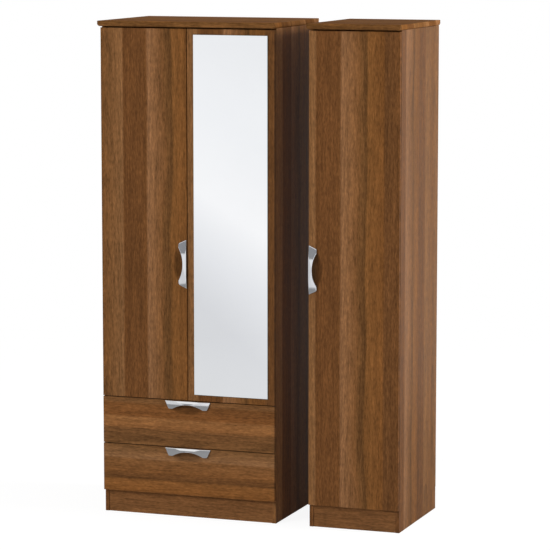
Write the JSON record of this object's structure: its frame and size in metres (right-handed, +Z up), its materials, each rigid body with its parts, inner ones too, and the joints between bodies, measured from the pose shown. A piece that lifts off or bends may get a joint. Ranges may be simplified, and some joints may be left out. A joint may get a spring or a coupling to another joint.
{
  "type": "wardrobe with doors",
  "caption": "Walnut-effect wardrobe set: a double carcass with a plain door, a mirror door and drawers below, and a tall single-door carcass, with bowed chrome handles.",
  "frame": {"origin": "on the floor at the centre of the set's outline seen from above", "axes": "+X to the right seen from the front, +Y to the back, +Z up; the doors face -Y"},
  "size_m": [1.248, 0.53, 1.97],
  "materials": {
    "walnut_foil": "satin walnut-effect foil on board, streaked grain",
    "drawer_board": "matt walnut-effect wrapped board",
    "hardboard": "matt printed hardboard",
    "mirror": "silvered glass with a fine bevel",
    "chrome_handle": "polished",
    "rail_chrome": "bright plated tube",
    "hinge_steel": "nickel-plated pressed steel",
    "screw_steel": "zinc-plated",
    "socket_plastic": "moulded",
    "batten_plastic": "moulded"
  },
  "bodies": {
    "carcasses": {"double_left_side": "walnut_foil", "double_right_side": "walnut_foil", "double_base": "walnut_foil", "double_plinth": "walnut_foil", "double_hat_shelf": "walnut_foil", "double_back": "hardboard", "double_top": "walnut_foil", "double_hanging_rail": "rail_chrome", "double_rail_sockets": "socket_plastic", "double_drawer_deck": "walnut_foil", "single_left_side": "walnut_foil", "single_right_side": "walnut_foil", "single_base": "walnut_foil", "single_plinth": "walnut_foil", "single_hat_shelf": "walnut_foil", "single_back": "hardboard", "single_top": "walnut_foil", "single_hanging_rail": "rail_chrome", "single_rail_sockets": "socket_plastic", "hinge_plates": "hinge_steel", "hinge_arms": "hinge_steel", "drawer_battens": "batten_plastic"},
    "left_door_links": {"left_door_hinge_links": "hinge_steel"},
    "left_door": {"left_door_board": "walnut_foil", "left_door_hinge_cups": "hinge_steel", "left_door_handle": "chrome_handle", "left_door_handle_screws": "screw_steel"},
    "mirror_door_links": {"mirror_door_hinge_links": "hinge_steel"},
    "mirror_door": {"mirror_door_board": "walnut_foil", "mirror_door_hinge_cups": "hinge_steel", "mirror_glass": "mirror"},
    "single_door_links": {"single_door_hinge_links": "hinge_steel"},
    "single_door": {"single_door_board": "walnut_foil", "single_door_hinge_cups": "hinge_steel", "single_door_handle": "chrome_handle", "single_door_handle_screws": "screw_steel"},
    "upper_drawer": {"upper_drawer_front": "walnut_foil", "upper_drawer_left_side": "drawer_board", "upper_drawer_right_side": "drawer_board", "upper_drawer_back": "drawer_board", "upper_drawer_bottom": "hardboard", "upper_drawer_handle": "chrome_handle", "upper_drawer_handle_screws": "screw_steel"},
    "lower_drawer": {"lower_drawer_front": "walnut_foil", "lower_drawer_left_side": "drawer_board", "lower_drawer_right_side": "drawer_board", "lower_drawer_back": "drawer_board", "lower_drawer_bottom": "hardboard", "lower_drawer_handle": "chrome_handle", "lower_drawer_handle_screws": "screw_steel"}
  },
  "joints": [
    {"name": "left_door_link_swing", "type": "hinge", "parent": "carcasses", "child": "left_door_links", "pos_m": [-0.608, -0.2395, 1.20845], "axis": [0, 0, -1], "range_deg": [0, 128.25]},
    {"name": "left_door_swing", "type": "hinge", "parent": "left_door_links", "child": "left_door", "pos_m": [-0.5968, -0.2305, 1.20845], "axis": [0, 0, 1], "range_deg": [0, 33.25]},
    {"name": "mirror_door_link_swing", "type": "hinge", "parent": "carcasses", "child": "mirror_door_links", "pos_m": [0.1, -0.2395, 1.20845], "axis": [0, 0, 1], "range_deg": [0, 128.25]},
    {"name": "mirror_door_swing", "type": "hinge", "parent": "mirror_door_links", "child": "mirror_door", "pos_m": [0.0888, -0.2305, 1.20845], "axis": [0, 0, -1], "range_deg": [0, 33.25]},
    {"name": "single_door_link_swing", "type": "hinge", "parent": "carcasses", "child": "single_door_links", "pos_m": [0.608, -0.2395, 1.01625], "axis": [0, 0, 1], "range_deg": [0, 128.25]},
    {"name": "single_door_swing", "type": "hinge", "parent": "single_door_links", "child": "single_door", "pos_m": [0.5968, -0.2305, 1.01625], "axis": [0, 0, -1], "range_deg": [0, 33.25]},
    {"name": "upper_drawer_slide", "type": "slide", "parent": "carcasses", "child": "upper_drawer", "axis": [0, -1, 0], "range_m": [0, 0.32]},
    {"name": "lower_drawer_slide", "type": "slide", "parent": "carcasses", "child": "lower_drawer", "axis": [0, -1, 0], "range_m": [0, 0.32]}
  ],
  "couplings": [
    {"joint": "left_door_link_swing", "follows": "left_door_swing", "ratio": 3.8571},
    {"joint": "mirror_door_link_swing", "follows": "mirror_door_swing", "ratio": 3.8571},
    {"joint": "single_door_link_swing", "follows": "single_door_swing", "ratio": 3.8571}
  ]
}
